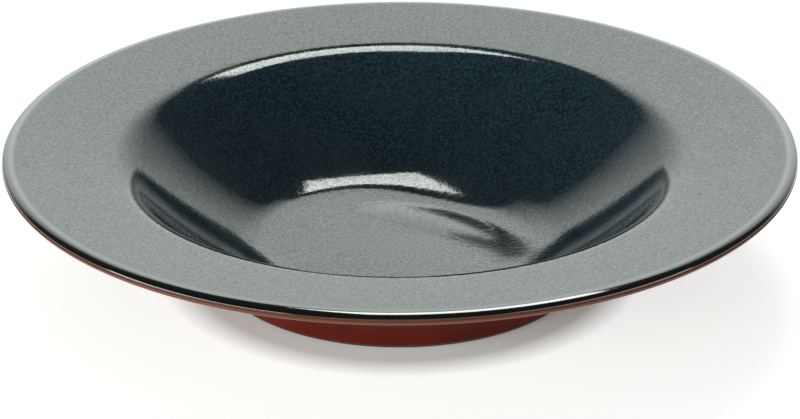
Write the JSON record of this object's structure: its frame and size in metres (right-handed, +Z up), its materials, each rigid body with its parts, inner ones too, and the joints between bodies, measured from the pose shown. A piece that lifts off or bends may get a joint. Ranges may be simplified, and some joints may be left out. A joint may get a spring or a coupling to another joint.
{
  "type": "soup plate",
  "caption": "Wide-rimmed ceramic soup plate with a sloping well, a rolled lip and a low foot ring, dark glossy glaze on its face and red glaze underneath.",
  "frame": {"origin": "on the table, at the centre of the foot ring's sole", "axes": "+Z up along the plate's axis, X and Y level"},
  "size_m": [0.2698, 0.2698, 0.0479],
  "materials": {
    "fired_clay": "bare fired clay, matt",
    "dark_glaze": "glossy dark blue-green glaze with a fine pebbled surface",
    "red_glaze": "glossy brick-red glaze"
  },
  "bodies": {
    "root": {"clay_body": "fired_clay", "face_glaze": "dark_glaze", "back_glaze": "red_glaze", "base_glaze": "red_glaze"}
  },
  "joints": []
}
